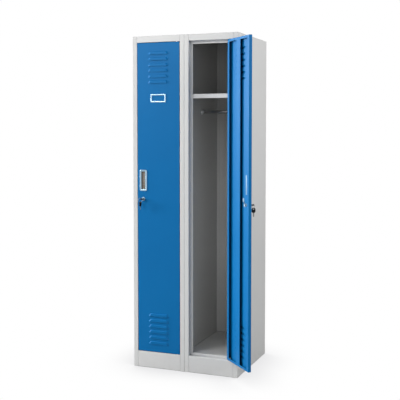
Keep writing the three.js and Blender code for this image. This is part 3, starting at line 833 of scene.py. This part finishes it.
THREAD_PITCH = 1.2 * MM
THREAD_DEEP = 0.35 * MM
THREAD_LEAD = 1 * MM  # plain length at each end of the thread
PLUG_RADIUS = half_wide("lock_plug")
NUT_FLATS = 21 * MM
SLOT_WIDE = 8 * MM
SLOT_TALL = 2.6 * MM
SLOT_DEEP = 18.6 * MM
SCREW_SHANK = 2 * MM
SCREW_HEAD = 2.6 * MM  # thickness
BLADE_WIDE = 7 * MM
BLADE_THICK = 1.8 * MM
BLADE_NECK = 2 * MM
BLADE_CUTS = 4
CUT_PITCH = 3.4 * MM
FIRST_CUT = 4.5 * MM
CUT_DEPTHS = (0.5 * MM, 0.85 * MM)
RIB_HALF = 0.5 * MM
RIB_ASIDE = 1.6 * MM
RIB_SHORT = 3 * MM  # how far from the tip the ribs end
BOW_LONG = 25 * MM
BOW_WIDE = 20 * MM
BOW_THICK = 5 * MM
BOW_CORNER = 8 * MM
BOW_SOFT = 1.1 * MM
BOW_HOLE = 3.5 * MM
HOLE_SOFT = 0.5 * MM
HOLE_INSET = 6 * MM
RING_STEPS = 12
CAM_THICK = 2 * MM
CAM_BEND = 3.2 * MM
CRANK_STARTS = 12 * MM
CRANK_ENDS = 19 * MM
NOSE_STEPS = 6
TIP_WIDTH = 0.25  # of the cam's full width
TAIL_WIDTH = 0.75
KEY_HANGS = 2 * MM  # its hole's middle below the lowest point of the ring


def lock_body():
    low, high = shut_box("lock_body")
    front, end, seat = low.y, high.y, FACE - GAP
    head, bore = half_wide("lock_body"), PLUG_RADIUS + GAP
    bevel = 0.5 * MM
    crown = [(1.6 * MM, 0), (0.6 * MM, 0.25 * MM), (0, 0.9 * MM)]
    profile = [(bore, front + bevel), (bore + bevel, front)]
    profile += [(head - step, front + behind) for step, behind in crown]
    profile += [(head, seat), (BARREL, seat)]
    turns = int((end - seat - 2 * THREAD_LEAD) / THREAD_PITCH)
    for turn in range(turns):
        crest = seat + THREAD_LEAD + (turn + 1 / 4) * THREAD_PITCH
        profile += [(BARREL, crest), (BARREL - THREAD_DEEP, crest + THREAD_PITCH / 2)]
    profile += [(BARREL - THREAD_DEEP, end), (bore, end)]
    return turned(profile)


def lock_nut():
    low, high = shut_box("lock_nut")
    bore, corner, soft = BARREL + GAP, (high.z - low.z) / 2, 0.8 * MM
    profile = [(corner - 2 * soft, low.y), (corner, low.y + soft), (corner, high.y - soft)]
    profile += [(corner - 2 * soft, high.y), (bore, high.y), (bore, low.y)]
    return turned(profile, flats=NUT_FLATS)


def lock_plug():
    """A round plug with the key's slot in its front."""
    low, high = shut_box("lock_plug")
    soft = 0.4 * MM
    loops = [round_loop(PLUG_RADIUS - soft, high.y), round_loop(PLUG_RADIUS, high.y - soft)]
    loops += [round_loop(PLUG_RADIUS, low.y + soft), round_loop(PLUG_RADIUS - soft, low.y)]
    loops += [rectangle_loop(SLOT_WIDE, SLOT_TALL, soft, low.y + deep) for deep in (0, SLOT_DEEP)]
    return lofted(loops)


def lock_cam():
    """A cranked arm with rounded ends."""
    low, high = shut_box("lock_cam")
    half = half_wide("lock_cam")
    tail_round = half / 3
    tail, tip = low.z - LOCK.z, high.z - LOCK.z
    behind = high.y - CAM_THICK
    turns = [math.pi / 2 * step / NOSE_STEPS for step in range(NOSE_STEPS, -1, -1)]
    path = [(low.y, tail), (low.y, tail + tail_round), (low.y, CRANK_STARTS), (behind, CRANK_ENDS)]
    path += [(behind, tip - half * (1 - math.cos(turn))) for turn in turns]

    def half_width(point):
        from_tip = min(max(tip - point.y, 0) / half, 1)
        from_tail = min(max(point.y - tail, 0) / tail_round, 1)
        nose = max(TIP_WIDTH, math.sqrt(1 - (1 - from_tip) ** 2))
        return half * nose * (TAIL_WIDTH + (1 - TAIL_WIDTH) * from_tail)

    pairs = folded(path, -1, CAM_THICK, CAM_BEND)
    return drawn_out(pairs, lambda point: -half_width(point), half_width, sideways)


def cam_screw():
    low, high = shut_box("cam_screw")
    head, soft = (high.z - low.z) / 2, 0.4 * MM
    neck, under = SCREW_SHANK - soft, high.y - SCREW_HEAD
    profile = [(neck, low.y), (SCREW_SHANK, low.y + soft), (SCREW_SHANK, under), (head - soft, under)]
    profile += [(head, under + soft), (head, high.y - soft), (head - 2 * soft, high.y)]
    profile += [(SCREW_SHANK, high.y), (neck, high.y - 2 * soft)]
    return turned(profile, ring=False, flats=2 * head * math.cos(math.pi / 6))


def key_bow():
    """A flat moulded grip with rounded edges and a hole for the ring. The blade starts at y = 0."""
    half = BOW_THICK / 2
    section = rounded(BOW_SOFT, 0, half, steps=4)
    loops = []
    for inset, z in [(inset, -z) for inset, z in reversed(section)] + section:
        wide, long = BOW_WIDE - 2 * inset, BOW_LONG - 2 * inset
        loops.append(rectangle_loop(wide, long, BOW_CORNER - inset, z, (0, -BOW_LONG / 2)))
    inside = half - HOLE_SOFT
    for radius, z in ((HOLE_SOFT, half), (0, inside), (0, -inside), (HOLE_SOFT, -half)):
        loops.append(round_loop(BOW_HOLE + radius, z, (0, HOLE_INSET - BOW_LONG)))
    points, faces = lofted(loops, ring=True)
    return [(x, y, along) for x, along, y in points], faces


def key_blade(length):
    """The blade, with cuts along both edges, a rounded shoulder, a tapered tip and two ribs."""
    half = BLADE_WIDE / 2
    edge = [(half, -BLADE_NECK)]
    for i in range(BLADE_CUTS):
        cut, start = half - CUT_DEPTHS[i % 2], FIRST_CUT + i * CUT_PITCH
        edge += [(half, start - CUT_PITCH / 3), (cut, start), (cut, start + CUT_PITCH / 4)]
        edge += [(half, start + CUT_PITCH / 2)]
    tip = [(0, 2.4 * MM), (1.6 * MM, 0.5 * MM), (2.6 * MM, 0)]
    edge += [(half - inset, length - short) for inset, short in tip]
    outline = edge + [(-x, y) for x, y in reversed(edge)]
    shapes = [outlined(outline, -BLADE_THICK / 4, BLADE_THICK / 4)]
    for middle in (RIB_ASIDE, -RIB_ASIDE):
        left, right, end = middle - RIB_HALF, middle + RIB_HALF, length - RIB_SHORT
        rib = [(left, -BLADE_NECK), (right, -BLADE_NECK), (right, end), (left, end)]
        shapes.append(outlined(rib, -BLADE_THICK / 2, BLADE_THICK / 2))
    return joined(*shapes)


def key_ring():
    low, high = shut_box("key_ring")
    centre, wire = (low + high) / 2, (high.y - low.y) / 2
    radius = (high.z - low.z) / 2 - wire
    loops = []
    for step in range(RING_STEPS):
        angle = 2 * math.pi * step / RING_STEPS
        out, along = radius + wire * math.cos(angle), centre.y + wire * math.sin(angle)
        loops.append(round_loop(out, along, (centre.x, centre.z)))
    return lofted(loops, ring=True)


# ---- Hinge pieces ----

PIN_SHAFT = 2.25 * MM
PIN_COLLAR = 3.45 * MM
PIN_HEAD_TOP = 2 * MM
COLLAR_LOW = 3.4 * MM  # heights are from the head's end of the pin
COLLAR_HIGH = 4.6 * MM
PIN_SOFT = 0.5 * MM
BUSH_BORE = 2.65 * MM
BUSH_SOFT = 0.35 * MM


def along_z(x, y, z, facing=1):
    """Places a piece turned about Y so that it points up, or down if facing is -1."""
    return Matrix.Translation((x, y, z)) @ Matrix.Rotation(facing * math.pi / 2, 4, "X")


def make_pin(side, end, facing):
    """A rivet through the rail or the plinth, with a collar that the door's end rides on."""
    node = f"{side}_{end}_hinge_pin"
    low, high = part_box(node)
    centre = (low + high) / 2
    head, tall = (high.x - low.x) / 2, high.z - low.z
    profile = [(head - PIN_SOFT, 0), (head, PIN_SOFT), (head, PIN_HEAD_TOP), (PIN_SHAFT, PIN_HEAD_TOP)]
    profile += [(PIN_SHAFT, COLLAR_LOW), (PIN_COLLAR, COLLAR_LOW), (PIN_COLLAR, COLLAR_HIGH)]
    profile += [(PIN_SHAFT, COLLAR_HIGH), (PIN_SHAFT, tall - PIN_SOFT), (PIN_SHAFT - PIN_SOFT, tall)]
    place = along_z(centre.x, centre.y, low.z if facing > 0 else high.z, facing)
    add_piece(f"{node}_rivet", turned(profile, ring=False), node, place)


def bush(end):
    low, high = shut_box(f"{end}_bush")
    outer, long = half_wide(f"{end}_bush"), high.z - low.z
    profile = [(BUSH_BORE, 0), (outer - BUSH_SOFT, 0), (outer, BUSH_SOFT)]
    profile += [(outer, long - BUSH_SOFT), (outer - BUSH_SOFT, long), (BUSH_BORE, long)]
    return turned(profile), low.z


def make_door(side):
    place = door_place(side)
    at_lock = place @ Matrix.Translation(LOCK)
    add_piece(f"{side}_door_pan", door_pan(), f"{side}_door_panel", place, thickness=SHEET)
    add_piece(f"{side}_door_channel", stiffener(), f"{side}_door_stiffener", place)
    add_piece(f"{side}_card_frame", label_holder(), f"{side}_label_holder", place)
    add_piece(f"{side}_handle_bezel", handle_bezel(), f"{side}_handle", place)
    add_piece(f"{side}_handle_cup", handle_cup(0, CUP_WALL / 2), f"{side}_handle", place)
    lining = handle_cup(CUP_WALL / 2, CUP_WALL / 2)
    add_piece(f"{side}_handle_lining", lining, f"{side}_handle", place, finish=CUP_FINISH)
    for end in ("top", "bottom"):
        sleeve, bottom = bush(end)
        add_piece(f"{side}_{end}_sleeve", sleeve, f"{side}_{end}_bush", place @ along_z(0, 0, bottom))
    add_piece(f"{side}_lock_barrel", lock_body(), f"{side}_lock_body", at_lock)
    add_piece(f"{side}_hex_nut", lock_nut(), f"{side}_lock_nut", at_lock)
    add_piece(f"{side}_slotted_plug", lock_plug(), f"{side}_lock_plug", at_lock)
    add_piece(f"{side}_cranked_cam", lock_cam(), f"{side}_lock_cam", at_lock)
    add_piece(f"{side}_hex_screw", cam_screw(), f"{side}_cam_screw", at_lock)
    ring = key_ring()
    node = f"{side}_key_ring"
    add_piece(f"{side}_split_ring", ring, node, place, slot="bright_steel", finish=RING_FINISH)
    make_keys(side, place)


def make_keys(side, place):
    low, high = shut_box("key")
    length = high.y - low.y - BOW_LONG
    in_lock = place @ Matrix.Translation((LOCK.x, low.y + BOW_LONG, LOCK.z))
    hook = Vector(JOINTS["left_spare_swing"]["pos_m"]) - PIVOT - Vector((0, 0, KEY_HANGS))
    turn = Matrix.Rotation(math.pi / 2, 4, "Z") @ Matrix.Rotation(-math.pi / 2, 4, "X")
    hanging = place @ Matrix.Translation(hook) @ turn @ Matrix.Translation((0, BOW_LONG - HOLE_INSET, 0))
    for node, where in (("key", in_lock), ("spare_key", hanging)):
        add_piece(f"{side}_{node}_bow", key_bow(), f"{side}_{node}", where)
        add_piece(f"{side}_{node}_blade", key_blade(length), f"{side}_{node}", where, finish=BLADE_FINISH)


for name in ("top_panel", "back_panel"):  # flat sheets, shown as they are in CAD
    NODES[name].data.materials.clear()
    NODES[name].data.materials.append(FINISHES[SLOT_OF[name]])
make_carcass()
for side in SIDES:
    make_pin(side, "top", -1)
    make_pin(side, "bottom", 1)
    make_door(side)


# ---- Studio ----

FLOOR_RADIUS = 7.0
FLOOR_EDGE = 64  # sides of the floor's round edge
FLOOR_SHADE = (0.8, 0.8, 0.81)
FLOOR_SHADE_REACH = 0.3
WHITE = (1, 1, 1)
SKY_TINT = (0.97, 0.985, 1.0, 1.0)
SKY_RISES = (-0.3, 0.9)  # from below the horizon to near the top
SKY_STRENGTH = (0.16, 0.46)
CAMERA_PLACE = (1.618, -4.123, 1.307)
CAMERA_DIPS = 3.43  # degrees below level
CAMERA_TURNS = 21.53  # degrees to the left of straight back
CAMERA_SHIFT = -0.06
LENS = 71.35  # mm
SENSOR = 36.0  # mm, its width


def floor_finish():
    """White to the eye: a glow with a painted soft shadow close under the locker. It gives back little light."""
    floor = Finish("studio_floor")
    mottled = floor.ramp(floor.noise(scale=5.0, detail=4.0), low=0.3, high=0.7)
    floor.finish(Base_Color=floor.mix(mottled, (0.3, 0.3, 0.3), (0.32, 0.32, 0.32)), Roughness=0.7)
    # Painted shadow: the glow dims where the locker closes in over the floor.
    open_floor = floor.ramp(floor.shelter(FLOOR_SHADE_REACH, samples=16), low=0.45, high=1.0)
    glow = floor.add("ShaderNodeEmission")
    floor.feed(glow.inputs["Color"], floor.mix(open_floor, FLOOR_SHADE, WHITE))
    blend = floor.add("ShaderNodeMixShader")
    floor.feed(blend.inputs[0], floor.add("ShaderNodeLightPath").outputs["Is Camera Ray"])
    floor.links.new(floor.shader.outputs[0], blend.inputs[1])
    floor.links.new(glow.outputs[0], blend.inputs[2])
    floor.links.new(blend.outputs[0], floor.nodes["Material Output"].inputs["Surface"])
    return floor.material


def make_floor():
    mesh = bpy.data.meshes.new("studio_floor")
    turns = [2 * math.pi * i / FLOOR_EDGE for i in range(FLOOR_EDGE)]
    edge = [(FLOOR_RADIUS * math.cos(turn), FLOOR_RADIUS * math.sin(turn), 0) for turn in turns]
    mesh.from_pydata(edge, [], [range(FLOOR_EDGE)])
    mesh.materials.append(floor_finish())
    floor = bpy.data.objects.new("studio_floor", mesh)
    bpy.context.scene.collection.objects.link(floor)


def make_world():
    """White to the eye and in reflections; the light that it gives is softer, and falls off downwards."""
    world = bpy.data.worlds.new("studio")
    world.use_nodes = True
    bpy.context.scene.world = world
    nodes, links = world.node_tree.nodes, world.node_tree.links
    place = nodes.new("ShaderNodeTexCoord")
    split = nodes.new("ShaderNodeSeparateXYZ")
    links.new(place.outputs["Generated"], split.inputs[0])
    rise = nodes.new("ShaderNodeMapRange")
    links.new(split.outputs["Z"], rise.inputs["Value"])
    for key, value in zip(("From Min", "From Max", "To Min", "To Max"), SKY_RISES + SKY_STRENGTH):
        rise.inputs[key].default_value = value
    light = nodes["Background"]
    light.inputs["Color"].default_value = SKY_TINT
    links.new(rise.outputs["Result"], light.inputs["Strength"])
    white = nodes.new("ShaderNodeBackground")
    white.inputs["Color"].default_value = (*WHITE, 1)
    eye = nodes.new("ShaderNodeLightPath")
    seen = nodes.new("ShaderNodeMath")
    seen.operation = "MAXIMUM"
    links.new(eye.outputs["Is Camera Ray"], seen.inputs[0])
    links.new(eye.outputs["Is Glossy Ray"], seen.inputs[1])
    blend = nodes.new("ShaderNodeMixShader")
    for output, socket in zip((seen, light, white), blend.inputs):
        links.new(output.outputs[0], socket)
    links.new(blend.outputs[0], nodes["World Output"].inputs["Surface"])


def area_light(name, place, target, size, watts):
    data = bpy.data.lights.new(name, "AREA")
    data.shape = "RECTANGLE"
    data.size, data.size_y = size
    data.energy = watts
    lamp = bpy.data.objects.new(name, data)
    lamp.location = place
    lamp.rotation_euler = (Vector(target) - Vector(place)).to_track_quat("-Z", "Y").to_euler()
    bpy.context.scene.collection.objects.link(lamp)
    return lamp


def link_light(lamp, piece, state):
    """The lamp lights every piece but this one if state is EXCLUDE, and only this one if it is INCLUDE."""
    linked = bpy.data.collections.new(f"linked_to_{lamp.name}")
    linked.objects.link(piece)
    linked.collection_objects[0].light_linking.link_state = state
    lamp.light_linking.receiver_collection = linked


def make_lights():
    """Soft boxes. The key skips the left side, which it would wash out. The edge light falls on it alone."""
    tall, middle = (1.2, 1.6), (0, -0.2, 1.0)
    key = area_light("key", (-3.5, -0.8, 1.9), target=(0.3, -0.3, 1.0), size=(1.6, 1.5), watts=188)
    edge = area_light("edge", (0.6, -3.6, 1.4), target=(-0.3, -0.2, 1.0), size=tall, watts=27)
    left_side = bpy.data.objects["left_side_sheet"]
    link_light(key, left_side, "EXCLUDE")
    link_light(edge, left_side, "INCLUDE")
    area_light("back", (-0.6, 3.8, 3.0), target=(0, 0.2, 1.0), size=(2.4, 1.6), watts=80)
    area_light("front", (-2.0, -3.4, 2.9), target=middle, size=(1.2, 0.9), watts=60)
    area_light("right_front", (1.4, -3.6, 1.4), target=(0.2, -0.2, 1.0), size=tall, watts=14)
    area_light("side", (3.2, -0.7, 2.9), target=(0.3, 0, 1.2), size=tall, watts=60)


def make_camera():
    data = bpy.data.cameras.new("camera")
    data.sensor_width = SENSOR
    data.lens = LENS
    data.shift_y = CAMERA_SHIFT
    camera = bpy.data.objects.new("camera", data)
    camera.location = CAMERA_PLACE
    camera.rotation_euler = (math.radians(90 - CAMERA_DIPS), 0, math.radians(CAMERA_TURNS))
    bpy.context.scene.collection.objects.link(camera)
    bpy.context.scene.camera = camera


make_floor()
make_world()
make_lights()
make_camera()
bpy.context.scene.view_settings.view_transform = "Standard"
